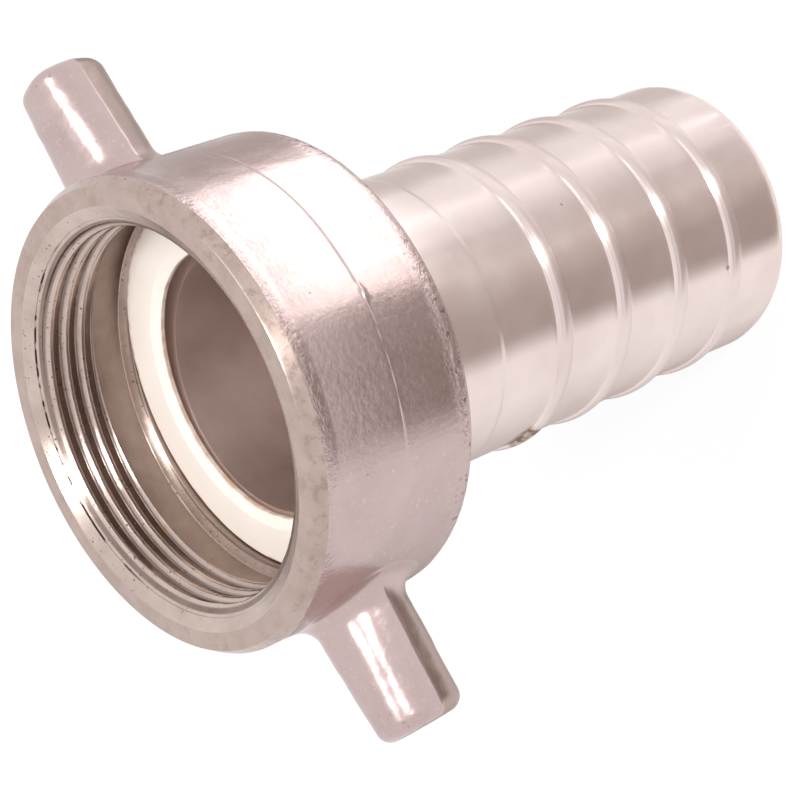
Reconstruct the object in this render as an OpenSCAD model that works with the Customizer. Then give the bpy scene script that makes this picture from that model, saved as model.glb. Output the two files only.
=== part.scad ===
// Cap and tail hose coupling: a lugged cap with an internal pipe thread swivels
// on a ribbed hose tail and draws a flat washer against the mating pipe.
// Millimetres. The coupling stands on its hose end with its mouth up.
// Depths are counted down from the mouth face, lengths up from the hose end.

/* [Part] */
// piece to build, or all of them

/* [Overall] */
// height from the hose end to the mouth face of the cap
overall_length = 92; // [80:0.5:110]

/* [Thread] */
// radius over the crests of the internal pipe thread (G 1 1/2 minor radius)
thread_minor_r = 22.42; // [15:0.01:30]
// depth of the countersink in front of the first thread
countersink_depth = 1.8; // [0.5:0.1:4]
// radius of the countersink at the mouth face
countersink_r = 25.3; // [18:0.1:34]
// length of the threaded stretch, about three turns
thread_length = 6.8; // [4:0.1:14]

/* [Cap] */
// outer radius of the machined mouth face
mouth_face_r = 27.6; // [20:0.1:40]
// depth of the machined band that bevels the corner at the mouth
front_band = 1.4; // [0.5:0.1:3]
// radius of the cap where the cast skin starts behind that band
cap_front_r = 28.45; // [20:0.1:40]
// radius of the cap at its casting parting plane
cap_parting_r = 28.7; // [20:0.1:40]
// radius of the cap at its back face, before the corner is rounded
cap_back_r = 28.8; // [20:0.1:40]
// depth of the parting plane behind the mouth face
parting_depth = 12.5; // [6:0.1:18]
// thickness of the inward flange that closes the back of the cap
back_wall = 3.3; // [2:0.1:5]
// rounding of the corner at the back face
back_round = 1.7; // [0.2:0.1:2.5]
// radius of the relief groove behind the thread
relief_r = 24.5; // [18:0.1:33]
// length of the relief groove behind the thread
relief_length = 5.2; // [1:0.1:8]
// gap between the ribs of the tail and the hole in the back of the cap
rib_clearance = 0.55; // [0.2:0.05:2]

/* [Lugs] */
// reach of each lug from the axis of the cap
lug_reach = 44.6; // [34:0.1:60]
// width of a lug around the cap, at its root
lug_root_width = 12.4; // [6:0.1:16]
// width of a lug around the cap, at its tip
lug_tip_width = 10; // [5:0.1:14]
// thickness of a lug along the axis
lug_thickness = 10.4; // [5:0.1:14]
// rounding of the end of a lug
lug_tip_round = 1.8; // [0.5:0.1:3]
// radius of the root fillets where a lug meets the cap
lug_fillet = 2.2; // [0.5:0.1:4]

/* [Tail] */
// radius of the water passage
bore_r = 16.6; // [10:0.1:25]
// radius of the tail between its ribs
barrel_r = 18.9; // [12:0.05:28]
// extra radius of the turned collar next to the cap
collar_step = 0.15; // [0.05:0.05:0.5]
// length from the mouth face to the end of that collar
collar_depth = 38; // [26:0.1:44]
// radius of the hose end, a trace wider than the barrel
hose_end_r = 19; // [12:0.05:28]
// corner broken at the hose end
end_chamfer = 0.4; // [0.1:0.1:1]
// height of a rib above the tail
rib_height = 0.65; // [0.3:0.05:2]
// width of a rib along the tail
rib_width = 2.9; // [1.5:0.1:5]
// number of ribs
rib_count = 4; // [2:1:6]
// distance between neighbouring ribs
rib_pitch = 11; // [6:0.1:14]
// height of the lowest rib above the hose end
first_rib = 10.4; // [5:0.1:20]
// thickness of the flange that the cap pulls on
flange_thickness = 3.5; // [1.5:0.1:5]
// gap around the flange as it passes the thread
flange_clearance = 0.32; // [0.1:0.01:1]
// corners broken on the flange
flange_chamfer = 0.4; // [0.1:0.1:1]

/* [Washer] */
// thickness of the flat sealing washer
washer_thickness = 1.2; // [0.8:0.1:3]
// radius of the hole in the washer
washer_hole_r = 16.9; // [12:0.1:26]
// width of the bevel round the hole, on the side of the mouth
washer_bevel = 1.4; // [0.2:0.1:3]
// depth of that bevel
washer_bevel_depth = 0.6; // [0.2:0.1:1]
// depth of the washer's upper face, on the axis
washer_depth = 13.7; // [10:0.1:18]
// how far the loose washer tips over, in degrees
washer_tilt = 4.1; // [0:0.1:6]
// direction of the side that it lifts
washer_tilt_angle = -66; // [-180:1:180]
// gap between the washer and its seat in the cap
washer_clearance = 0.15; // [0.1:0.05:1]
// how far the washer seat steps in from the relief groove
seat_step = 1.3; // [0.5:0.1:1.5]
// depth of the sloping shoulder that makes that step
seat_slope = 0.8; // [0.2:0.1:1.5]

/* [Hidden] */

facet_count = 128;
lug_sides = 32;
slice = 0.02;
full_turn = 360;
section_power = 2.4;

seat_r = relief_r - seat_step;
washer_r = seat_r - washer_clearance;
relief_top = countersink_depth + thread_length;
seat_top = relief_top + relief_length;
flange_depth = washer_depth + washer_thickness * cos(washer_tilt) + washer_r * sin(washer_tilt);
wall_depth = flange_depth + flange_thickness;
cap_length = wall_depth + back_wall;

rib_r = barrel_r + rib_height;
back_hole_r = rib_r + rib_clearance;
flange_r = thread_minor_r - flange_clearance;
collar_r = barrel_r + collar_step;
last_rib = first_rib - rib_width;

root_radius = (relief_r + cap_parting_r) / 2;
arc_steps = 8;
quarter = 90;

function at(depth) = overall_length - depth;

// points of a rounded corner, from the first angle to the second
function corner(r, height, round_r, from, to) =
    [for (i = [0 : arc_steps])
        let (angle = from + (to - from) * i / arc_steps)
            [r + round_r * cos(angle), height + round_r * sin(angle)]];

// profile of one rib on the tail, from its lower edge to its upper edge
function rib_profile(height) =
    [for (i = [0 : arc_steps])
        let (angle = -quarter + 2 * quarter * i / arc_steps)
            [barrel_r + rib_height * cos(angle), height + rib_width / 2 * sin(angle)]];

// section of a lug: widest at the parting plane, drafted both ways
function lug_section(width, thickness) =
    [for (i = [0 : lug_sides - 1])
        let (angle = full_turn * i / lug_sides,
             c = cos(angle),
             s = sin(angle))
            [width / 2 * sign(c) * pow(abs(c), 2 / section_power),
             thickness / 2 * sign(s) * pow(abs(s), 2 / section_power)]];

// thin slice of a lug at a distance from the axis
module lug_slice(reach, width, thickness) {
    translate([reach, 0, at(parting_depth)])
        rotate([quarter, 0, quarter])
            linear_extrude(height = slice)
                polygon(lug_section(width, thickness));
}

// one lug along +X, with a rounded end and a flared root
module lug() {
    hull() {
        lug_slice(root_radius, lug_root_width, lug_thickness);
        lug_slice(lug_reach - lug_tip_round, lug_tip_width, lug_thickness);
        lug_slice(lug_reach - lug_tip_round / 3,
                  lug_tip_width - lug_tip_round / 2, lug_thickness - lug_tip_round / 2);
        lug_slice(lug_reach - slice,
                  lug_tip_width - 2 * lug_tip_round, lug_thickness - 2 * lug_tip_round);
    }
    hull() {
        lug_slice(root_radius, lug_root_width + 2 * lug_fillet, lug_thickness + 2 * lug_fillet);
        lug_slice(cap_parting_r, lug_root_width + lug_fillet, lug_thickness + lug_fillet);
        lug_slice(cap_parting_r + lug_fillet, lug_root_width, lug_thickness);
    }
}

module cap() {
    color([0.72, 0.67, 0.65]) {
        rotate_extrude($fn = facet_count)
            polygon(concat(
                [[countersink_r, at(0)]],
                [[thread_minor_r, at(countersink_depth)],
                 [thread_minor_r, at(relief_top)],
                 [relief_r, at(relief_top + seat_slope / 2)],
                 [relief_r, at(seat_top)],
                 [seat_r, at(seat_top + seat_slope)],
                 [seat_r, at(wall_depth)],
                 [back_hole_r, at(wall_depth)],
                 [back_hole_r, at(cap_length)]],
                corner(cap_back_r - back_round, at(cap_length - back_round), back_round, -quarter, 0),
                [[cap_parting_r, at(parting_depth)],
                 [cap_front_r, at(front_band)],
                 [mouth_face_r, at(0)]]));
        lug();
        mirror([1, 0, 0])
            lug();
    }
}

module tail() {
    color([0.76, 0.70, 0.68])
        rotate_extrude($fn = facet_count)
            polygon(concat(
                [[bore_r + end_chamfer, 0],
                 [hose_end_r - end_chamfer, 0],
                 [hose_end_r, end_chamfer],
                 [barrel_r, last_rib]],
                [for (i = [0 : rib_count - 1]) each rib_profile(first_rib + i * rib_pitch)],
                [[barrel_r, at(collar_depth)],
                 [collar_r, at(collar_depth)],
                 [collar_r, at(wall_depth)],
                 [flange_r - flange_chamfer, at(wall_depth)],
                 [flange_r, at(wall_depth - flange_chamfer)],
                 [flange_r, at(flange_depth + flange_chamfer)],
                 [flange_r - flange_chamfer, at(flange_depth)],
                 [bore_r + end_chamfer, at(flange_depth)],
                 [bore_r, at(flange_depth + end_chamfer)],
                 [bore_r, end_chamfer]]));
}

module washer() {
    color([0.93, 0.89, 0.84])
        translate([0, 0, at(washer_depth)])
            rotate(a = washer_tilt, v = [sin(washer_tilt_angle), -cos(washer_tilt_angle), 0])
                rotate_extrude($fn = facet_count)
                    polygon([[washer_hole_r, -washer_thickness],
                             [washer_r, -washer_thickness],
                             [washer_r, 0],
                             [washer_hole_r + washer_bevel, 0],
                             [washer_hole_r, -washer_bevel_depth]]);
}

cap();
tail();
washer();
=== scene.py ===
import math

import bpy
import numpy as np
from mathutils import Matrix, Quaternion, Vector, noise


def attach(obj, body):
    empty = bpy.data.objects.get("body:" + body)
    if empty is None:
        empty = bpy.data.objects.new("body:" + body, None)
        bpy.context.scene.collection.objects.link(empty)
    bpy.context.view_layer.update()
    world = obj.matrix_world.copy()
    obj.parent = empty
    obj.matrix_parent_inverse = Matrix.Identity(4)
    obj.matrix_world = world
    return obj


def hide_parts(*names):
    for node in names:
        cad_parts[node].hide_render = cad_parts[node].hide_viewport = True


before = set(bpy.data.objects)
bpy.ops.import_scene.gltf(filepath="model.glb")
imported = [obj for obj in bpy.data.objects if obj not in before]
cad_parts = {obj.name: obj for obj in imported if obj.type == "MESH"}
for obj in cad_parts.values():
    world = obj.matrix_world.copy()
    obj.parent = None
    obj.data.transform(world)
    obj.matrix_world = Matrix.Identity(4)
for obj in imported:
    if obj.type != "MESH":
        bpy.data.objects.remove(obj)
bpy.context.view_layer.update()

# Sizes are in millimetres, as in the CAD source, and a mesh is scaled to metres when it
# is made. Depths are counted down from the mouth face, heights up from the hose end.
MM = 0.001
LENGTH = 92.0

# Outside of the cap
MOUTH_FACE_R, FRONT_BAND, CAP_FRONT_R = 27.6, 1.4, 28.45
PARTING_DEPTH, CAP_PARTING_R = 12.5, 28.7
CAP_BACK_R, BACK_ROUND, BACK_WALL = 28.8, 1.7, 3.3
# room that the plain wall leaves for its uneven skin
SKIN = 0.06

# Inside of the cap
COUNTERSINK_R, COUNTERSINK_DEPTH = 25.3, 1.8
TOOL_MARK_R, TOOL_MARK_STEP = 23.85, 0.09
THREAD_LENGTH, RELIEF_R, RELIEF_LENGTH = 6.8, 24.5, 5.2
RELIEF_SLOPE, SEAT_STEP, SEAT_SLOPE = 0.4, 1.3, 0.8

# Internal pipe thread, right hand, worn shallow: radii over crests and roots, the
# turn at which it starts, and how much of a pitch its flanks and its root take
THREAD_CREST_R, THREAD_ROOT_R = 22.42, 23.12
THREAD_PITCH, THREAD_PHASE = 2.309, 0.836
THREAD_FRONT_FLANK, THREAD_ROOT, THREAD_BACK_FLANK = 0.223, 0.43, 0.139

# Lugs: reach, offset along Y and height of the middle, for the one on +X and on -X
LUG_REACH = 44.6
LUGS = {1: (LUG_REACH, 0.45, 79.47), -1: (LUG_REACH - 0.1, 0.15, 79.66)}
LUG_DROOP = 0.012
LUG_ROOT_HALF, LUG_TIP_HALF, LUG_HALF_THICK = 6.2, 5.0, 5.2
LUG_TIP_ROUND, LUG_FILLET = 1.8, 2.6
LUG_POWER, LUG_DRAFT = 3.0, 0.2

# Tail
BORE_R, BARREL_R, HOSE_END_R = 16.6, 18.9, 19.0
COLLAR_STEP, COLLAR_DEPTH, COLLAR_SLOPE = 0.15, 38.0, 0.7
RIB_HEIGHT, RIB_WIDTH, RIB_FOOT = 0.65, 2.9, 1.9
RIB_PITCH, FIRST_RIB, RIB_COUNT, RIB_CLEARANCE = 11.0, 10.4, 4, 0.55
FLANGE_THICK, FLANGE_CLEARANCE = 3.5, 0.32

# Washer, tipped over in its seat
WASHER_HOLE_R, WASHER_THICK, WASHER_CLEARANCE = 16.9, 1.2, 0.15
WASHER_BEVEL, WASHER_BEVEL_DEPTH = 1.4, 0.6
WASHER_DEPTH, WASHER_TILT, WASHER_COMPASS = 13.7, math.radians(4.1), math.radians(-66)

# Sizes that follow from those above
THREAD_END = COUNTERSINK_DEPTH + THREAD_LENGTH
SEAT_TOP = THREAD_END + RELIEF_LENGTH
SEAT_R = RELIEF_R - SEAT_STEP
WASHER_R = SEAT_R - WASHER_CLEARANCE
FLANGE_DEPTH = WASHER_DEPTH + WASHER_THICK * math.cos(WASHER_TILT) + WASHER_R * math.sin(WASHER_TILT)
WALL_DEPTH = FLANGE_DEPTH + FLANGE_THICK
CAP_DEPTH = WALL_DEPTH + BACK_WALL
COLLAR_R = BARREL_R + COLLAR_STEP
COLLAR_END = LENGTH - COLLAR_DEPTH
FLANGE_R = THREAD_CREST_R - FLANGE_CLEARANCE
FLANGE_TOP = LENGTH - FLANGE_DEPTH
BACK_HOLE_R = BARREL_R + RIB_HEIGHT + RIB_CLEARANCE

# Points round each ring, along each rib's profile, and along a lug's parts
CAP_SEGMENTS, TAIL_SEGMENTS, WASHER_SEGMENTS = 280, 256, 192
RIB_POINTS = 44
FILLET_ROWS, SIDE_ROWS, END_ROWS = 12, 32, 10

# A rounding takes at most this share of an edge, has more points where it is large,
# and is a single point where it is tiny
EDGE_SHARE, LARGE_ROUNDING, TINY_ROUNDING = 0.45, 0.12, 0.004


# Mesh helpers


def rounded_corner(here, before, after, rounding):
    """Points of a corner rounded between its two edges, and the place where it ends."""
    u, v = before / np.hypot(*before), after / np.hypot(*after)
    half = math.acos(max(-1.0, min(1.0, float(u @ v)))) / 2
    longest = EDGE_SHARE * min(np.hypot(*before), np.hypot(*after))
    cut = min(rounding / max(math.tan(half), 1e-6), longest)
    start, end = here + u * cut, here + v * cut
    bends = 6 if cut > LARGE_ROUNDING else 4
    turns = np.linspace(0, 1, bends) if cut > TINY_ROUNDING else [0.5]
    arc = [(1 - t) ** 2 * start + 2 * t * (1 - t) * here + t * t * end for t in turns]
    return arc, end


def rounded_profile(corners):
    """Points (r, z) and a surface number for each span, from a closed ring of corners.

    A corner is (r, z, rounding, step, surface): its own rounding, then the largest
    step along the straight stretch that follows it, and that stretch's surface.
    """
    points, surfaces = [], []
    for i, (r, z, rounding, step, surface) in enumerate(corners):
        here = np.array([r, z])
        previous = np.array(corners[i - 1][:2])
        following_corner = corners[(i + 1) % len(corners)]
        following = np.array(following_corner[:2])
        arc, end = rounded_corner(here, previous - here, following - here, rounding)
        length = np.hypot(*(following - end))
        stretch = max(0.0, length - following_corner[2])
        steps = max(1, int(stretch / step))
        straight = [end + (following - end) * (k / steps) * stretch / length for k in range(1, steps)]
        points += arc + straight
        surfaces += [surface] * len(arc + straight)
    return np.array(points), surfaces


def revolve(points, segments):
    """Grid of points (profile, segment, xyz) from a profile turned about Z."""
    angle = np.arange(segments) * 2 * math.pi / segments
    r, z = points[:, 0][:, None], points[:, 1][:, None]
    return np.stack([r * np.cos(angle), r * np.sin(angle), z + 0 * angle], axis=-1)


def ring_faces(rows, segments, closed, first=0):
    """Quads of a grid that closes round its segments, and along its rows if closed."""
    i = np.arange(rows if closed else rows - 1)[:, None]
    j = np.arange(segments)[None, :]
    i2, j2 = (i + 1) % rows, (j + 1) % segments
    corners = [i * segments + j, i * segments + j2, i2 * segments + j2, i2 * segments + j]
    return np.stack(corners, axis=-1).reshape(-1, 4) + first


def make_object(name, vertices, faces, surfaces, materials, body):
    """A smooth shaded mesh in metres that rides on a body and replaces its CAD node."""
    mesh = bpy.data.meshes.new(name)
    mesh.from_pydata((np.asarray(vertices) * MM).tolist(), [], [list(map(int, f)) for f in faces])
    for material in materials:
        mesh.materials.append(material)
    mesh.polygons.foreach_set("material_index", np.asarray(surfaces, dtype=np.int32))
    mesh.polygons.foreach_set("use_smooth", np.ones(len(mesh.polygons), dtype=bool))
    mesh.update()
    obj = bpy.data.objects.new(name, mesh)
    bpy.context.scene.collection.objects.link(obj)
    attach(obj, body)
    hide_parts(body)
    return obj


def make_turned(name, grid, surfaces, materials, body):
    """An object from one closed grid, whose profile runs outward and then up."""
    rows, segments = grid.shape[:2]
    faces = ring_faces(rows, segments, True)[:, ::-1]
    numbers = np.repeat(surfaces, segments)
    return make_object(name, grid.reshape(-1, 3), faces, numbers, materials, body)


def smooth_noise(points, size, seed=0.0):
    """Soft noise between -1 and 1 at each point, with features of about the given size."""
    flat = np.asarray(points).reshape(-1, 3) / size + seed
    values = np.array([noise.noise(Vector(p)) for p in flat])
    return values.reshape(np.asarray(points).shape[:-1])


def bell(value, middle, width):
    """1 at a middle value, falling off smoothly on both sides of it."""
    return np.exp(-(((value - middle) / width) ** 2))


def near_compass(angle, degrees, width):
    """1 near a compass direction in degrees, falling softly to 0 over a width."""
    away = np.degrees(np.abs((angle - math.radians(degrees) + math.pi) % (2 * math.pi) - math.pi))
    return np.clip(1.5 - away / width, 0, 1)


# Cap


def cap_wall_radius(z):
    """Outer radius of the cap at a height, drafted both ways from the parting plane."""
    return np.interp(
        LENGTH - z,
        [FRONT_BAND, PARTING_DEPTH, CAP_DEPTH],
        [CAP_FRONT_R, CAP_PARTING_R, CAP_BACK_R],
    )


def cap_corners():
    """Profile of the cap, from the mouth down its inside and up its outside.

    Surfaces: 0 cast skin, 1 machined face, 2 cut thread, 3 relief and seat.
    """
    slope = COUNTERSINK_DEPTH / (COUNTERSINK_R - THREAD_CREST_R)
    mark = (COUNTERSINK_R - TOOL_MARK_R) * slope - TOOL_MARK_STEP / 2
    rows = [
        (MOUTH_FACE_R, 0, 0.14, 0.4, 1),
        (COUNTERSINK_R, 0, 0.1, 0.12, 2),
        (TOOL_MARK_R, mark, 0.02, 0.05, 2),
        (TOOL_MARK_R, mark + TOOL_MARK_STEP, 0.02, 0.12, 2),
        (THREAD_CREST_R, COUNTERSINK_DEPTH, 0.04, 0.085, 2),
        (THREAD_CREST_R, THREAD_END, 0.05, 0.1, 2),
        (RELIEF_R, THREAD_END + RELIEF_SLOPE, 0.25, 0.4, 3),
        (RELIEF_R, SEAT_TOP, 0.12, 0.1, 2),
        (SEAT_R, SEAT_TOP + SEAT_SLOPE, 0.15, 0.4, 3),
        (SEAT_R, WALL_DEPTH, 0.3, 0.8, 3),
        (BACK_HOLE_R, WALL_DEPTH, 0.2, 0.6, 3),
        (BACK_HOLE_R, CAP_DEPTH, 0.25, 0.8, 0),
        (CAP_BACK_R - SKIN, CAP_DEPTH, BACK_ROUND, 0.33, 0),
        (CAP_PARTING_R - SKIN, PARTING_DEPTH + 0.8, 0.1, 0.06, 0),
        (CAP_PARTING_R - SKIN, PARTING_DEPTH - 0.4, 0.1, 0.33, 0),
        (CAP_FRONT_R, FRONT_BAND, 0.1, 0.2, 1),
    ]
    return [(r, LENGTH - depth, *rest) for r, depth, *rest in rows]


def thread_radius(angle, z):
    """Radius of the thread's surface: flat crests and roots joined by straight flanks."""
    turn = (z / THREAD_PITCH - angle / (2 * math.pi) - THREAD_PHASE) % 1.0
    stops = np.cumsum([0, THREAD_FRONT_FLANK, THREAD_ROOT, THREAD_BACK_FLANK, 1])
    form = np.interp(turn, stops, [0, 1, 1, 0, 0])
    return THREAD_CREST_R + (THREAD_ROOT_R - THREAD_CREST_R) * form


def skin_height(grid, angle, depth):
    """How far the cast skin stands off the cap's plain wall."""
    waves = 0.035 * smooth_noise(grid, 9.0) + 0.004 * smooth_noise(grid * [1, 1, 0.25], 1.6, 7.0)
    rough_side = 0.045 * near_compass(angle, -50, 13) * smooth_noise(grid * [1, 1, 0.4], 1.3, 17.0)
    at_back = np.clip((depth - CAP_DEPTH + 2.6) / 2.0, 0, 1)
    at_front = np.clip((FRONT_BAND + 1.2 - depth) / 1.2, 0, 1)
    wrinkles = 0.035 * (at_back + at_front) * smooth_noise(grid * [1, 1, 0.6], 0.75, 5.0)
    return waves + rough_side + wrinkles - 0.02


def seam_height(grid, angle, depth):
    """Seam of the casting along the parting line: a ragged ridge, a groove and a small nub."""
    ragged = np.clip(0.5 + 1.1 * smooth_noise(grid * [1, 1, 0], 1.3, 3.0), 0, 1.2)
    line = PARTING_DEPTH + 0.25 + 0.12 * smooth_noise(grid * [1, 1, 0], 5.0, 11.0)
    ridge = 0.055 * ragged * near_compass(angle, -125, 34)
    groove = 0.06 * near_compass(angle, -72, 26)
    nub = 0.2 * near_compass(angle, -94.5, 1.4) * bell(depth, line + 0.2, 0.3)
    return (ridge - groove) * bell(depth, line, 0.11) + nub


def cap_ring():
    """The cap without its lugs: cast outside, machined mouth, thread and washer seat."""
    points, surfaces = rounded_profile(cap_corners())
    grid = revolve(points, CAP_SEGMENTS)
    angle = np.arctan2(grid[..., 1], grid[..., 0])
    radius, depth = np.hypot(grid[..., 0], grid[..., 1]), LENGTH - grid[..., 2]

    inside = (radius < COUNTERSINK_R - 0.1) & (depth > 0.3) & (depth < THREAD_END + 0.35)
    chips = 0.07 * np.clip(smooth_noise(grid, 0.8, 4.0) - 0.1, 0, 1)
    thread = np.maximum(radius, thread_radius(angle, grid[..., 2])) + chips
    radius = np.where(inside, thread, radius)

    outside = (radius > COUNTERSINK_R + 1.2) & (depth > FRONT_BAND + 0.1)
    skin = radius + skin_height(grid, angle, depth) + seam_height(grid, angle, depth)
    radius = np.where(outside, skin, radius)
    radius = np.minimum(radius, CAP_BACK_R - 0.005)

    grid[..., 0], grid[..., 1] = radius * np.cos(angle), radius * np.sin(angle)
    return grid, surfaces


def lug_outline():
    """Outline of a lug's section, in shares of its half width and half thickness.

    Its points lie closer together at the parting line.
    """
    even = np.linspace(0, 2 * math.pi, 72, endpoint=False)
    near = np.array([-0.05, -0.025, -0.012, 0.012, 0.025, 0.05])
    angle = np.unique(np.round(np.concatenate([even, near % (2 * math.pi), math.pi + near]), 5))
    c, s = np.cos(angle), np.sin(angle)
    up = np.sign(s) * np.abs(s) ** (2 / LUG_POWER)
    across = np.sign(c) * np.abs(c) ** (2 / LUG_POWER) * (1 - LUG_DRAFT * np.abs(up))
    return across, up


def lug_fillet(section, wall):
    """Rows of the root fillet, where it leaves the wall, and where it meets the lug.

    It leaves the wall of the cap along its tangent and turns into the side of the lug.
    """
    y0, z0 = section(CAP_PARTING_R)
    out_y, out_z = y0 / np.hypot(y0, z0), z0 / np.hypot(y0, z0)
    y_wall, z_wall = y0 + out_y * LUG_FILLET, z0 + out_z * LUG_FILLET
    x_wall = wall(y_wall, z_wall)
    probe = 0.05
    slope = (wall(y_wall + out_y * probe, z_wall + out_z * probe) - x_wall) / probe
    x_knee = x_wall - slope * LUG_FILLET
    x_side = x_knee + LUG_FILLET
    buried, spread = 0.25, 0.4
    rows = [np.stack([x_wall - buried, y_wall + out_y * spread, z_wall + out_z * spread], -1)]
    for t in np.linspace(0, 1, FILLET_ROWS):
        k0, k1, k2 = (1 - t) ** 2, 2 * t * (1 - t), t * t
        x = k0 * x_wall + k1 * x_knee + k2 * x_side
        rows.append(np.stack([x, k0 * y_wall + (k1 + k2) * y0, k0 * z_wall + (k1 + k2) * z0], -1))
    return rows, x_wall, x_side


def lug_side(section, x_side, end_start):
    """Rows along the side of a lug, from its fillet to the rounding of its end."""
    step_in = section(CAP_PARTING_R)[0] - section(CAP_PARTING_R + LUG_FILLET)[0]
    rows = []
    for t in np.linspace(0, 1, SIDE_ROWS)[1:]:
        x = x_side + (end_start - x_side) * t
        y, dz = section(x)
        rows.append(np.stack([x, y + step_in * (1 - t), dz], -1))
    return rows


def lug_end(section, end_start):
    """Rows round the rounded end of a lug and across its flat face."""
    rows = []
    for t in np.linspace(0, math.pi / 2, END_ROWS)[1:]:
        y, dz = section(end_start, LUG_TIP_ROUND * (1 - math.cos(t)))
        rows.append(np.stack([end_start + LUG_TIP_ROUND * math.sin(t) + 0 * y, y, dz], -1))
    y, dz = section(end_start, LUG_TIP_ROUND)
    for share in (0.8, 0.6, 0.4, 0.2, 0.03):
        rows.append(np.stack([end_start + LUG_TIP_ROUND + 0 * y, y * share, dz * share], -1))
    return rows


def lug(side):
    """Grid of points for one lug along X, from its root fillet to the middle of its end."""
    reach, offset, centre_z = LUGS[side]
    across, up = lug_outline()

    def section(x, shrink=0.0):
        share = (x - CAP_PARTING_R) / (reach - CAP_PARTING_R)
        half = LUG_ROOT_HALF + (LUG_TIP_HALF - LUG_ROOT_HALF) * share
        return across * (half - shrink), up * (LUG_HALF_THICK - shrink)

    def wall(y, dz):
        return np.sqrt(np.maximum(cap_wall_radius(centre_z + dz) ** 2 - (y + side * offset) ** 2, 1.0))

    end_start = reach - LUG_TIP_ROUND
    fillet, x_wall, x_side = lug_fillet(section, wall)
    grid = np.array(fillet + lug_side(section, x_side, end_start) + lug_end(section, end_start))

    # cast unevenness, which starts beyond the wall, and the lug's slight droop
    outward = grid * [0, 1, 1]
    outward /= np.maximum(np.linalg.norm(outward, axis=-1, keepdims=True), 1e-6)
    place = grid + [side * 50, 0, centre_z]
    uneven = 0.08 * smooth_noise(place, 4.5) + 0.045 * smooth_noise(place, 1.5, 9.0) - 0.06
    fade = np.clip((grid[..., 0] - x_wall[None, :]) / 2.0, 0, 1)
    grid += outward * (uneven * fade)[..., None]
    grid[..., 0] = np.minimum(grid[..., 0], reach)
    grid[..., 2] += centre_z - LUG_DROOP * np.maximum(grid[..., 0] - CAP_PARTING_R, 0)
    grid[..., :2] *= side
    grid[..., 1] += offset
    return grid


def build_cap(materials):
    """One casting: the ring and its two lugs."""
    grid, surfaces = cap_ring()
    rows, segments = grid.shape[:2]
    vertices = [grid.reshape(-1, 3)]
    faces = [ring_faces(rows, segments, True)]
    numbers = [np.repeat(surfaces, segments)]
    start = rows * segments
    for side in (1, -1):
        part = lug(side)
        lug_rows, around = part.shape[:2]
        quads = ring_faces(lug_rows, around, False, start)[:, ::-1]
        vertices.append(part.reshape(-1, 3))
        faces.append(quads)
        numbers.append(np.zeros(len(quads), dtype=int))
        start += lug_rows * around
    return make_object(
        "cap_cast", np.concatenate(vertices), np.concatenate(faces),
        np.concatenate(numbers), materials, "cap",
    )


# Tail and washer


def rib_corners(middle):
    """Rib as it was turned: a soft bead with flared feet and a fine tool mark on each side."""
    bead_share = 0.66
    rows = []
    for along in np.linspace(-RIB_FOOT, RIB_FOOT, RIB_POINTS):
        half = RIB_WIDTH / 2 * (0.8 if along > 0 else 1.0)
        bead = math.sqrt(max(0.0, 1 - (along / half) ** 2))
        foot = 0.5 + 0.5 * math.cos(math.pi * along / RIB_FOOT)
        height = RIB_HEIGHT * (bead_share * bead + (1 - bead_share) * foot)
        marks = 0.04 * bell(along, 0.62, 0.08) + 0.02 * bell(along, -0.75, 0.08)
        rows.append((BARREL_R + height - marks, middle + along, 0.0, 1.0, 0))
    rows[-1] = (*rows[-1][:3], 0.6, 0)
    return rows


def tail_corners():
    """Profile of the tail, up its outside. Surfaces: 0 turned outside, 1 bore."""
    flange_bottom = FLANGE_TOP - FLANGE_THICK
    corners = [
        (BORE_R, 0.0, 0.35, 0.3, 0),
        (HOSE_END_R, 0.0, 0.35, 0.6, 0),
        (BARREL_R, FIRST_RIB - RIB_WIDTH - 1.5, 3.0, 0.6, 0),
    ]
    for i in range(RIB_COUNT):
        corners += rib_corners(FIRST_RIB + i * RIB_PITCH)
    return corners + [
        (BARREL_R, COLLAR_END - COLLAR_SLOPE / 2, 0.2, 0.1, 0),
        (COLLAR_R, COLLAR_END + COLLAR_SLOPE / 2, 0.2, 0.8, 0),
        (COLLAR_R, flange_bottom, 0.3, 0.6, 0),
        (FLANGE_R, flange_bottom, 0.35, 0.5, 0),
        (FLANGE_R, FLANGE_TOP, 0.35, 0.5, 0),
        (BORE_R, FLANGE_TOP, 0.006, 1.2, 1),
    ]


def build_tail(materials):
    """Turned tail, a trace out of round."""
    points, surfaces = rounded_profile(tail_corners())
    grid = revolve(points, TAIL_SEGMENTS)
    wobble = 1 - 0.0004 + 0.0004 * smooth_noise(grid * [1, 1, 0.35], 12.0, 2.0)
    grid[..., :2] *= wobble[..., None]
    return make_turned("tail_turned", grid, surfaces, materials, "tail")


def build_washer(materials):
    """Flat washer with a bevelled hole, lying askew."""
    corners = [
        (WASHER_HOLE_R, -WASHER_THICK, 0.12, 0.5, 0),
        (WASHER_R, -WASHER_THICK, 0.15, 0.5, 0),
        (WASHER_R, 0.0, 0.15, 0.5, 0),
        (WASHER_HOLE_R + WASHER_BEVEL, 0.0, 0.1, 0.2, 0),
        (WASHER_HOLE_R, -WASHER_BEVEL_DEPTH, 0.12, 0.2, 0),
    ]
    points, surfaces = rounded_profile(corners)
    lean_axis = Vector((math.sin(WASHER_COMPASS), -math.cos(WASHER_COMPASS), 0))
    lean = np.array(Matrix.Rotation(WASHER_TILT, 3, lean_axis))
    grid = revolve(points, WASHER_SEGMENTS) @ lean.T + [0, 0, LENGTH - WASHER_DEPTH]
    return make_turned("washer_flat", grid, surfaces, materials, "washer")


# Materials. Noise scales count features to the metre, other lengths are millimetres.


def colour(value):
    """An RGBA colour from one grey level or from three channels."""
    if isinstance(value, (int, float)):
        value = (value, value, value)
    return (*value, 1.0)


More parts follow.
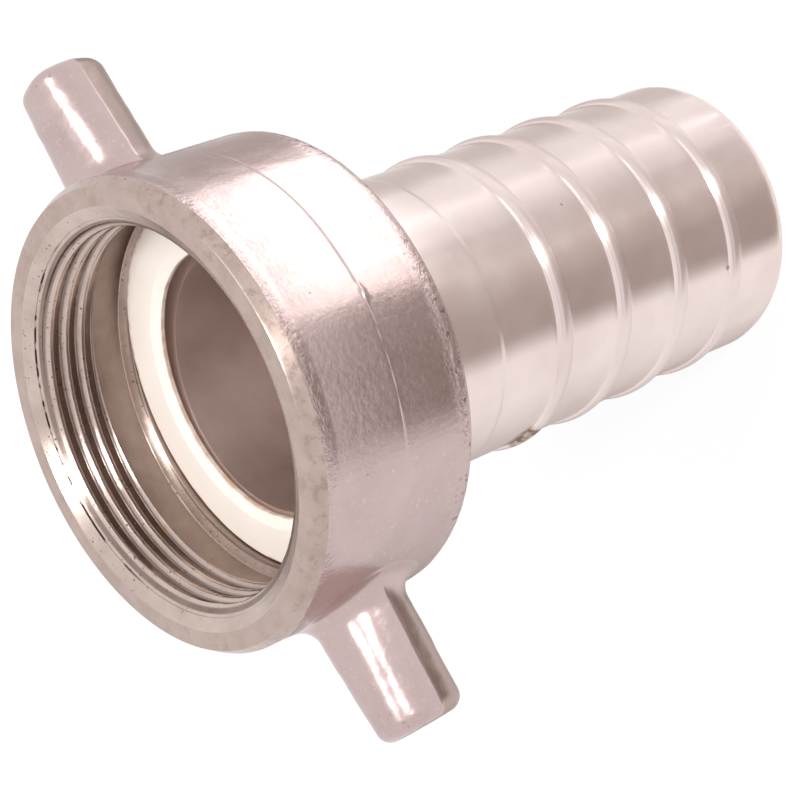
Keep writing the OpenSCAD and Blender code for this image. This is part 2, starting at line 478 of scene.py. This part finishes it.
class Graph:
    """Small helper that adds and links the nodes of one material."""

    def __init__(self, tree):
        self.tree = tree
        tree.nodes.clear()

    def fill(self, socket, value):
        """Link another node's socket, or set a constant."""
        if isinstance(value, bpy.types.NodeSocket):
            self.tree.links.new(value, socket)
        else:
            socket.default_value = colour(value) if socket.type == "RGBA" else value

    def add(self, kind, inputs=None, **settings):
        node = self.tree.nodes.new(kind)
        for key, value in settings.items():
            setattr(node, key, value)
        for key, value in (inputs or {}).items():
            self.fill(node.inputs[key], value)
        return node

    def math(self, operation, a, b=0.0):
        return self.add("ShaderNodeMath", {0: a, 1: b}, operation=operation).outputs[0]

    def both(self, a, b):
        """Share of one mask that lies within another."""
        return self.math("MULTIPLY", a, b)

    def scaled(self, value, factor, offset=0.0):
        inputs = {0: value, 1: factor, 2: offset}
        return self.add("ShaderNodeMath", inputs, operation="MULTIPLY_ADD").outputs[0]

    def soft(self, value, low, high):
        """0 below low and 1 above high, or the other way round where low is greater."""
        inputs = {0: value, 1: low, 2: high, 3: 0.0, 4: 1.0}
        return self.add("ShaderNodeMapRange", inputs, interpolation_type="SMOOTHSTEP").outputs[0]

    def soft_mm(self, length, low, high):
        """The same for a length in the mesh, between two values in millimetres."""
        return self.soft(length, low * MM, high * MM)

    def noise(self, where, scale, detail=3.0, roughness=0.5):
        inputs = {"Vector": where, "Scale": scale, "Detail": detail, "Roughness": roughness}
        return self.add("ShaderNodeTexNoise", inputs).outputs[0]

    def part(self, where, axis):
        return self.add("ShaderNodeSeparateXYZ", {0: where}).outputs[axis]

    def squeezed(self, where, shares):
        inputs = {0: where, 1: shares}
        return self.add("ShaderNodeVectorMath", inputs, operation="MULTIPLY").outputs[0]

    def along(self, where, direction):
        """How far a place lies along a direction from the axis."""
        inputs = {0: where, 1: direction}
        return self.add("ShaderNodeVectorMath", inputs, operation="DOT_PRODUCT").outputs["Value"]

    def from_axis(self, where):
        """How far a place lies from the axis."""
        flat = self.squeezed(where, (1.0, 1.0, 0.0))
        return self.add("ShaderNodeVectorMath", {0: flat}, operation="LENGTH").outputs["Value"]

    def tool_lines(self, value, scale):
        """Fine noise drawn out round the axis, by height for walls or by radius for faces."""
        line = self.add("ShaderNodeCombineXYZ", {0: 0.0, 1: 0.0, 2: value}).outputs[0]
        return self.noise(line, scale, 3.0, 0.7)

    def pits(self, where, scale, size, patchiness=0.35, patch_scale=300.0):
        """1 in small scattered pits, which crowd together in patches."""
        cells = self.add("ShaderNodeTexVoronoi", {"Vector": where, "Scale": scale}).outputs["Distance"]
        chance = self.scaled(self.noise(where, patch_scale, 2.0), patchiness)
        return self.soft(self.math("ADD", cells, chance), size * 1.35, size)

    def spot(self, where, place, size, ragged, scale):
        """1 within a size of a place on the surface, with a ragged edge."""
        inputs = {0: where, 1: tuple(value * MM for value in place)}
        away = self.add("ShaderNodeVectorMath", inputs, operation="DISTANCE").outputs["Value"]
        edge = self.scaled(self.noise(where, scale, 4.0, 0.6), ragged * MM, -0.5 * ragged * MM)
        return self.soft_mm(self.math("ADD", away, edge), size, 0.55 * size)

    def ramp(self, value, stops):
        node = self.add("ShaderNodeValToRGB", {0: value})
        elements = node.color_ramp.elements
        elements.remove(elements[-1])
        elements[0].position, elements[0].color = stops[0][0], colour(stops[0][1])
        for position, shade in stops[1:]:
            elements.new(position).color = colour(shade)
        return node.outputs[0]

    def mix(self, share, a, b):
        node = self.add("ShaderNodeMix", {0: share}, data_type="RGBA")
        self.fill(node.inputs[6], a)
        self.fill(node.inputs[7], b)
        return node.outputs[2]

    def bump(self, height, depth, strength=1.0, normal=None):
        inputs = {"Height": height, "Distance": depth * MM, "Strength": strength}
        if normal is not None:
            inputs["Normal"] = normal
        return self.add("ShaderNodeBump", inputs).outputs[0]


def new_material(name):
    material = bpy.data.materials.new(name)
    material.use_nodes = True
    graph = Graph(material.node_tree)
    where = graph.add("ShaderNodeTexCoord").outputs["Object"]
    return material, graph, where


def finish_metal(g, base, roughness, normal, turned=0.0):
    """Bare metal. Turned metal spreads its highlights across its tool lines."""
    inputs = {"Base Color": base, "Metallic": 1.0, "Roughness": roughness, "Normal": normal}
    if turned:
        tangent = g.add("ShaderNodeTangent", direction_type="RADIAL", axis="Z").outputs[0]
        inputs.update({"Anisotropic": turned, "Anisotropic Rotation": 0.25, "Tangent": tangent})
    shader = g.add("ShaderNodeBsdfPrincipled", inputs)
    g.add("ShaderNodeOutputMaterial", {0: shader.outputs[0]})


# Directions across the mouth in which its face is most pitted and its inside most dirty
PITTED_SIDE = (0.83, 0.55, 0.0)
DIRTY_SIDE = (0.469, 0.883, 0.0)

# Places of the rust in the thread and of the stain on the tail, and those of the tail's
# rust spots with their sizes
THREAD_RUST = (-8.0, 22.6, 83.9)
TAIL_STAIN = (-18.9, 0.5, 44.0)
TAIL_SPOTS = [((-14.6, -12.0, 21.3), 0.35), ((-12.2, -14.4, 11.8), 0.4), ((2.3, -18.8, 36.5), 0.25)]


def cast_skin():
    """Outside of the casting: satin skin with fine grain, soft ripples and small pits."""
    material, g, where = new_material("cast_skin")
    height, reach = g.part(where, "Z"), g.math("ABSOLUTE", g.part(where, "X"))
    ripple = g.noise(g.squeezed(where, (1.0, 1.0, 0.15)), 520.0)
    wrinkle = g.noise(where, 1150.0, 4.0, 0.6)
    grain = g.noise(where, 1700.0, 3.0, 0.6)

    # pits crowd at the back edge, wrinkles at both
    crowded = g.soft_mm(height, LENGTH - 19.5, LENGTH - 23.0)
    rear_pit = g.both(g.pits(where, 900.0, 0.3, 0.3), crowded)
    pit = g.math("MAXIMUM", g.pits(where, 520.0, 0.14), rear_pit)
    back_edge = g.soft_mm(height, LENGTH - 19.8, LENGTH - 22.5)
    front_edge = g.soft_mm(height, LENGTH - 3.4, LENGTH - 1.5)
    edges = g.math("MAXIMUM", back_edge, front_edge)
    normal = g.bump(ripple, 0.03)
    normal = g.bump(g.both(wrinkle, g.scaled(edges, 0.9, 0.1)), 0.22, 1.0, normal)
    normal = g.bump(grain, 0.012, 0.8, normal)
    normal = g.bump(pit, -0.05, 0.8, normal)

    tone = g.ramp(g.noise(where, 90.0, 5.0, 0.6), [(0.3, (0.53, 0.41, 0.395)), (0.7, (0.62, 0.485, 0.47))])
    tone = g.mix(g.soft(grain, 0.55, 0.8), tone, (0.66, 0.53, 0.51))
    base = g.mix(g.scaled(pit, 0.75), tone, (0.16, 0.11, 0.09))

    # painted shade darkens the lugs underneath, and the lugs are specked towards their tips
    on_lug = g.soft_mm(reach, CAP_PARTING_R + 0.5, CAP_PARTING_R + 2.3)
    parting_z = LENGTH - PARTING_DEPTH
    painted_shade_under = g.both(on_lug, g.soft_mm(height, parting_z - 0.1, parting_z - 0.5))
    base = g.mix(g.scaled(painted_shade_under, 0.75), base, (0.40, 0.30, 0.265))
    specks = g.soft(g.noise(where, 900.0, 4.0, 0.7), 0.56, 0.74)
    tips = g.both(g.soft_mm(reach, LUG_REACH - 6.1, LUG_REACH - 0.1), specks)
    base = g.mix(g.scaled(tips, 0.6), base, (0.22, 0.14, 0.11))
    finish_metal(g, base, g.scaled(grain, 0.12, 0.17), normal)
    return material


def machined_face():
    """Turned mouth face and bevel, with tool lines, small open pits and a ragged outer edge."""
    material, g, where = new_material("machined_face")
    away = g.from_axis(where)
    lines = g.tool_lines(away, 5200.0)
    cloud = g.noise(where, 260.0, 5.0, 0.6)
    pit = g.math("MAXIMUM", g.pits(where, 1100.0, 0.23, 0.5, 330.0), g.pits(where, 620.0, 0.2, 0.45, 240.0))
    pit = g.both(pit, g.soft_mm(g.along(where, PITTED_SIDE), -20, 20))
    normal = g.bump(lines, 0.008, 0.6)
    normal = g.bump(cloud, 0.02, 0.5, normal)
    normal = g.bump(pit, -0.07, 1.0, normal)
    tone = g.ramp(cloud, [(0.35, (0.47, 0.365, 0.32)), (0.65, (0.55, 0.43, 0.385))])
    tone = g.mix(g.soft(lines, 0.5, 0.75), tone, (0.58, 0.46, 0.41))
    worn = g.soft(g.noise(where, 620.0, 4.0, 0.7), 0.5, 0.7)
    edge = g.both(g.soft_mm(away, MOUTH_FACE_R - 0.6, MOUTH_FACE_R + 0.4), worn)
    tone = g.mix(g.scaled(edge, 0.6), tone, (0.30, 0.21, 0.17))
    blotch = g.soft(g.noise(where, 380.0, 5.0, 0.7), 0.52, 0.72)
    tone = g.mix(g.scaled(blotch, 0.55), tone, (0.36, 0.265, 0.22))
    base = g.mix(g.scaled(pit, 0.85), tone, (0.09, 0.055, 0.045))
    finish_metal(g, base, g.scaled(cloud, 0.1, 0.21), normal, 0.3)
    return material


def dirty_tool_mark(g, where, away, toward):
    """Broken line of dirt in the countersink's tool mark."""
    ring = g.both(
        g.soft_mm(away, TOOL_MARK_R - 0.15, TOOL_MARK_R - 0.05),
        g.soft_mm(away, TOOL_MARK_R + 0.11, TOOL_MARK_R + 0.01),
    )
    ring = g.both(ring, g.soft_mm(g.part(where, "Z"), LENGTH - 2.7, LENGTH - 2.5))
    ring = g.both(ring, g.soft_mm(toward, 8, 17))
    return g.both(ring, g.soft(g.noise(where, 330.0), 0.46, 0.56))


def thread_metal():
    """Cut countersink, thread and shoulder: brighter than the face, with painted shade in its grooves."""
    material, g, where = new_material("thread_metal")
    away, toward = g.from_axis(where), g.along(where, DIRTY_SIDE)
    lines = g.tool_lines(g.math("ADD", away, g.part(where, "Z")), 6000.0)
    cloud = g.noise(where, 210.0, 5.0, 0.6)
    pit = g.pits(where, 1000.0, 0.2, 0.4, 380.0)
    normal = g.bump(lines, 0.006, 0.6)
    normal = g.bump(g.noise(where, 900.0), 0.018, 0.5, normal)
    normal = g.bump(pit, -0.05, 1.0, normal)
    tone = g.ramp(cloud, [(0.35, (0.54, 0.43, 0.38)), (0.65, (0.65, 0.53, 0.475))])
    # painted shade: the thread's roots are darkened, more in some patches than others
    groove = g.both(
        g.soft_mm(away, THREAD_ROOT_R - 0.37, THREAD_ROOT_R - 0.12),
        g.soft_mm(away, THREAD_ROOT_R + 0.48, THREAD_ROOT_R + 0.28),
    )
    base = g.mix(g.both(groove, g.scaled(cloud, 0.8, 0.3)), tone, (0.15, 0.10, 0.08))
    base = g.mix(dirty_tool_mark(g, where, away, toward), base, (0.04, 0.025, 0.02))
    flecks = g.both(g.pits(where, 1250.0, 0.3, 0.45, 380.0), g.soft_mm(toward, -4, 12))
    base = g.mix(g.scaled(flecks, 0.8), base, (0.11, 0.07, 0.05))
    rust = g.spot(where, THREAD_RUST, 1.5, 1.6, 1500.0)
    base = g.mix(g.scaled(rust, 0.6), base, (0.36, 0.20, 0.08))
    base = g.mix(g.scaled(pit, 0.8), base, (0.10, 0.06, 0.05))
    finish_metal(g, base, g.scaled(cloud, 0.12, 0.2), normal, 0.8)
    return material


def relief_metal():
    """Relief and washer seat: dull, brown with old water, with the tool lines still in it."""
    material, g, where = new_material("relief_metal")
    height = g.part(where, "Z")
    lines = g.tool_lines(height, 3600.0)
    cloud = g.noise(where, 170.0, 5.0, 0.65)
    normal = g.bump(lines, 0.01, 0.7)
    normal = g.bump(g.noise(where, 1000.0), 0.03, 0.6, normal)
    tone = g.ramp(cloud, [(0.3, (0.33, 0.25, 0.215)), (0.7, (0.47, 0.375, 0.33))])
    tone = g.mix(g.soft(lines, 0.52, 0.8), tone, (0.54, 0.44, 0.39))
    flecks = g.pits(where, 1100.0, 0.2, 0.4, 420.0)
    tone = g.mix(g.scaled(flecks, 0.7), tone, (0.10, 0.06, 0.045))
    patches = g.soft(g.noise(where, 520.0, 4.0, 0.6), 0.6, 0.72)
    rust = g.both(patches, g.soft_mm(height, LENGTH - THREAD_END - 0.5, LENGTH - THREAD_END))
    tone = g.mix(g.scaled(rust, 0.7), tone, (0.38, 0.19, 0.07))
    finish_metal(g, tone, g.scaled(cloud, 0.12, 0.38), normal, 0.5)
    return material


def turned_metal():
    """Outside of the tail: bright turned skin with faint tool lines, stains and rust spots."""
    material, g, where = new_material("turned_metal")
    height = g.part(where, "Z")
    lines = g.tool_lines(height, 4600.0)
    cloud = g.noise(where, 110.0, 4.0)
    speck = g.pits(where, 620.0, 0.13)
    normal = g.bump(lines, 0.005, 0.6)
    normal = g.bump(g.noise(where, 380.0, 2.0), 0.008, 0.5, normal)
    normal = g.bump(speck, -0.03, 0.6, normal)
    tone = g.ramp(cloud, [(0.35, (0.79, 0.66, 0.63)), (0.65, (0.86, 0.73, 0.70))])
    tone = g.mix(g.scaled(g.soft(lines, 0.55, 0.85), 0.6), tone, (0.70, 0.58, 0.55))
    # painted light: the flange's top face and the top of its side, which lie in the washer's shadow, are
    # made much lighter
    tone = g.mix(g.soft_mm(height, FLANGE_TOP - 1, FLANGE_TOP - 0.5), tone, (0.98, 0.86, 0.82))
    base = g.mix(g.scaled(speck, 0.6), tone, (0.20, 0.13, 0.10))
    stain = g.spot(where, TAIL_STAIN, 3.6, 4.5, 420.0)
    patches = g.soft(g.noise(where, 640.0, 4.0, 0.6), 0.36, 0.6)
    stain = g.both(stain, g.scaled(patches, 0.7, 0.3))
    base = g.mix(g.scaled(stain, 0.9), base, (0.15, 0.06, 0.02))
    for place, size in TAIL_SPOTS:
        rust = g.spot(where, place, size, 0.3, 2600.0)
        base = g.mix(g.scaled(rust, 0.5), base, (0.18, 0.09, 0.05))
    ribs = g.soft_mm(g.from_axis(where), BARREL_R + 0.18, BARREL_R + 0.4)
    roughness = g.math("ADD", g.scaled(cloud, 0.06, 0.19), g.scaled(ribs, 0.1))
    finish_metal(g, base, roughness, normal, 0.9)
    return material


def bore_metal():
    """Dull oxidised wall of the water passage."""
    material, g, where = new_material("bore_metal")
    lines = g.tool_lines(g.part(where, "Z"), 2500.0)
    cloud = g.noise(where, 140.0, 5.0, 0.6)
    normal = g.bump(lines, 0.02, 0.6)
    normal = g.bump(g.noise(where, 800.0), 0.03, 0.5, normal)
    tone = g.ramp(cloud, [(0.35, (0.74, 0.61, 0.56)), (0.65, (0.84, 0.71, 0.66))])
    finish_metal(g, tone, g.scaled(cloud, 0.1, 0.42), normal, 0.4)
    return material


def ivory_washer():
    """Matt ivory washer, faintly mottled, with rust from the metal along its edges."""
    material, g, where = new_material("ivory_washer")
    away = g.from_axis(where)
    cloud = g.noise(where, 230.0, 4.0)
    tone = g.ramp(cloud, [(0.3, (0.93, 0.835, 0.76)), (0.7, (0.95, 0.86, 0.785))])
    uneven = g.scaled(g.noise(where, 330.0, 4.0, 0.6), 1.2 * MM, -0.6 * MM)
    rim = g.soft_mm(g.math("ADD", away, uneven), WASHER_R - 0.43, WASHER_R - 0.03)
    hole = g.math("ADD", away, g.scaled(uneven, 0.4))
    hole = g.soft_mm(hole, WASHER_HOLE_R + 0.12, WASHER_HOLE_R - 0.02)
    rust = g.math("MAXIMUM", g.scaled(rim, 0.8), g.scaled(hole, 0.5))
    patches = g.soft(g.noise(where, 420.0), 0.42, 0.6)
    base = g.mix(g.both(rust, g.scaled(patches, 0.8, 0.2)), tone, (0.58, 0.27, 0.11))
    normal = g.bump(g.noise(where, 1200.0), 0.02, 0.5)
    normal = g.bump(cloud, 0.04, 0.4, normal)
    shader = g.add("ShaderNodeBsdfPrincipled", {
        "Base Color": base, "Roughness": g.scaled(cloud, 0.15, 0.48), "Normal": normal,
    })
    g.add("ShaderNodeOutputMaterial", {0: shader.outputs[0]})
    return material


# Studio

# Camera place, the way that it looks, its roll and its lens
CAMERA_AT = Vector((-49.83, -198.63, 219.88))
CAMERA_LOOK = Vector((0.15923, 0.76702, -0.62156))
CAMERA_ROLL = math.radians(112.77)
CAMERA_LENS, CAMERA_SENSOR = 95.27, 36.0

# Cards that lie on the floor round the coupling, for the metal to mirror. Each stop is
# a compass direction on the wall that shows it, and the card's brightness there.
CARDS = {
    "camera_card": [(-76, 0.95), (-84, 0.72), (-98, 0.60), (-110, 0.47), (-123, 0.42), (-130, 0.95)],
    "back_card": [(-148, 1.0), (-166, 0.76), (-176, 0.62), (-192, 0.42), (-215, 0.42)],
    "side_card": [(-54, 0.97), (-48, 0.72), (-34, 0.72), (-28, 0.98), (-12, 0.85)],
    "line_card": [(-62, 1.0), (-67, 1.12), (-68.6, 1.6), (-70.2, 1.12), (-75, 1.0)],
}

# Radius and height of the walls that show a card, first the tail's and then the cap's
TAIL_WALLS = [(BARREL_R, 1.0), (BARREL_R, 35.0), (COLLAR_R, 68.0)]
CAP_WALLS = [(CAP_BACK_R, 72.0), (CAP_BACK_R, LENGTH)]

# Bank of lamps that the cap's upper flank mirrors: the compass directions on that flank
# and its height, the camera's own compass direction from there, and the lamps' places
PANEL_WALLS = [-57.35, -65.35, -73.35, -81.35, -89.35]
PANEL_HEIGHT = 79.0
CAMERA_COMPASS = -101.75
PANEL_ELEVATION, PANEL_DISTANCE, PANEL_SIZE, PANEL_BEAM = -37.5, 75, (27, 24), 54


def studio_world():
    """White surroundings, an even light at the level at which colours render as written."""
    world = bpy.data.worlds.new("studio")
    bpy.context.scene.world = world
    world.use_nodes = True
    g = Graph(world.node_tree)
    white = g.add("ShaderNodeBackground", {"Color": 1.0, "Strength": 1.0})
    g.add("ShaderNodeOutputWorld", {0: white.outputs[0]})


def stage_mesh(name, vertices, faces):
    mesh = bpy.data.meshes.new(name)
    mesh.from_pydata([tuple(Vector(v) * MM) for v in vertices], [], faces)
    obj = bpy.data.objects.new(name, mesh)
    bpy.context.scene.collection.objects.link(obj)
    return obj


def floor():
    """Pale studio floor, white to the eye and in the metal, which keeps the object's shadow."""
    size = 6000.0
    corners = [(-size, -size, 0), (size, -size, 0), (size, size, 0), (-size, size, 0)]
    obj = stage_mesh("floor", corners, [(0, 1, 2, 3)])
    material = bpy.data.materials.new("floor_white")
    material.use_nodes = True
    g = Graph(material.node_tree)
    path = g.add("ShaderNodeLightPath").outputs
    mirrored = g.math("MAXIMUM", path["Is Glossy Ray"], path["Is Transmission Ray"])
    open_sky = g.add("ShaderNodeAmbientOcclusion", {"Distance": 12 * MM}, samples=8).outputs["AO"]
    seen = g.math("MAXIMUM", path["Is Camera Ray"], g.both(mirrored, open_sky))
    plain = g.add("ShaderNodeBsdfDiffuse", {"Color": 0.9})
    white = g.add("ShaderNodeEmission", {"Color": 1.0, "Strength": 1.0})
    share = g.scaled(seen, 0.87)
    mixed = g.add("ShaderNodeMixShader", {0: share, 1: plain.outputs[0], 2: white.outputs[0]})
    g.add("ShaderNodeOutputMaterial", {0: mixed.outputs[0]})
    obj.data.materials.append(material)


def floor_spot(compass, radius, height):
    """Place on the floor that the camera sees mirrored in an upright wall."""
    angle = math.radians(compass)
    normal = Vector((math.cos(angle), math.sin(angle), 0))
    point = normal * radius + Vector((0, 0, height))
    ray = (point - CAMERA_AT).reflect(normal)
    spot = point - ray * (point.z / ray.z)
    return spot + Vector((0, 0, 0.1))


def card_shade(level, on_cap):
    """Colour of a card: warmer where darker, and darker still for the cap."""
    if on_cap:
        level *= 1.0 - 0.45 * max(0.0, 1.0 - level)
    warm = min(level, 1.0)
    return (level, level * warm**0.15, level * warm**0.25, 1.0)


def card(name, stops):
    """Graded card on the floor, seen only in the metal's reflections."""
    walls = TAIL_WALLS + CAP_WALLS
    count = len(walls)
    vertices = [floor_spot(compass, *wall) for compass, _ in stops for wall in walls]
    faces = [
        (row * count + k, row * count + k + 1, (row + 1) * count + k + 1, (row + 1) * count + k)
        for row in range(len(stops) - 1) for k in range(count - 1)
    ]
    obj = stage_mesh(name, vertices, faces)
    shade = obj.data.color_attributes.new("shade", "FLOAT_COLOR", "POINT")
    for row, (_, level) in enumerate(stops):
        for k in range(count):
            shade.data[row * count + k].color = card_shade(level, k >= len(TAIL_WALLS))
    material = bpy.data.materials.new(name)
    material.use_nodes = True
    g = Graph(material.node_tree)
    tone = g.add("ShaderNodeAttribute", attribute_name="shade").outputs["Color"]
    glow = g.add("ShaderNodeEmission", {"Color": tone, "Strength": 1.0})
    g.add("ShaderNodeOutputMaterial", {0: glow.outputs[0]})
    obj.data.materials.append(material)
    for ray in ("camera", "diffuse", "shadow", "transmission"):
        setattr(obj, "visible_" + ray, False)


def lamp(name, compass, elevation, distance, size, strength, target=(0, 0, 60), turn=0, beam=180):
    """Soft lamp that faces a point; its strength is how bright it looks beside white.

    Only surfaces near the axis of a narrow beam see it.
    """
    data = bpy.data.lights.new(name, "AREA")
    data.shape, data.size, data.size_y = "RECTANGLE", size[0] * MM, size[1] * MM
    data.energy = strength * math.pi * data.size * data.size_y
    if beam < 180:
        data.spread = math.radians(beam)
        data.energy *= math.tan(data.spread / 2) ** 2 / 3
    obj = bpy.data.objects.new(name, data)
    bpy.context.scene.collection.objects.link(obj)
    a, e = math.radians(compass), math.radians(elevation)
    away = Vector((math.cos(a) * math.cos(e), math.sin(a) * math.cos(e), math.sin(e)))
    obj.location = (Vector(target) + away * distance) * MM
    obj.rotation_mode = "QUATERNION"
    level = (-away).to_track_quat("-Z", "Y")
    obj.rotation_quaternion = level @ Quaternion((0, 0, 1), math.radians(turn))
    obj.visible_camera = False


def soft_panel(strength):
    """Curved bank of narrow-beamed lamps that only the upper flank of the cap mirrors."""
    for number, wall in enumerate(PANEL_WALLS):
        around = math.radians(wall)
        spot = (CAP_PARTING_R * math.cos(around), CAP_PARTING_R * math.sin(around), PANEL_HEIGHT)
        mirrored = 2 * wall - CAMERA_COMPASS
        place = (mirrored, PANEL_ELEVATION, PANEL_DISTANCE)
        lamp("panel_%d" % number, *place, PANEL_SIZE, strength, spot, beam=PANEL_BEAM)


def photo_camera():
    data = bpy.data.cameras.new("photo")
    data.sensor_width, data.lens = CAMERA_SENSOR, CAMERA_LENS
    data.clip_start, data.clip_end = 0.01, 50.0
    obj = bpy.data.objects.new("photo", data)
    bpy.context.scene.collection.objects.link(obj)
    obj.location = CAMERA_AT * MM
    look = CAMERA_LOOK.normalized()
    side = look.cross(Vector((0, 0, 1))).normalized()
    rolled_up = side.cross(look) * math.cos(CAMERA_ROLL) + side * math.sin(CAMERA_ROLL)
    turn = Matrix([look.cross(rolled_up), rolled_up, -look]).transposed()
    obj.rotation_mode = "QUATERNION"
    obj.rotation_quaternion = turn.to_quaternion()
    bpy.context.scene.camera = obj


build_cap([cast_skin(), machined_face(), thread_metal(), relief_metal()])
build_tail([turned_metal(), bore_metal()])
build_washer([ivory_washer()])

studio_world()
floor()
for name, stops in CARDS.items():
    card(name, stops)
lamp("overhead", -68, 79, 700, (150, 150), 20.0)
lamp("strip", -90, 44, 700, (90, 180), 28.0)
lamp("rib_strip", -91, 16, 200, (26, 90), 16.0, (-2, -19, 27), beam=36)
lamp("lug_strip", -62, 46, 120, (60, 60), 4.0, (38, -4, 84), turn=-50, beam=50)
soft_panel(1.8)
photo_camera()

bpy.context.scene.view_settings.view_transform = "Standard"
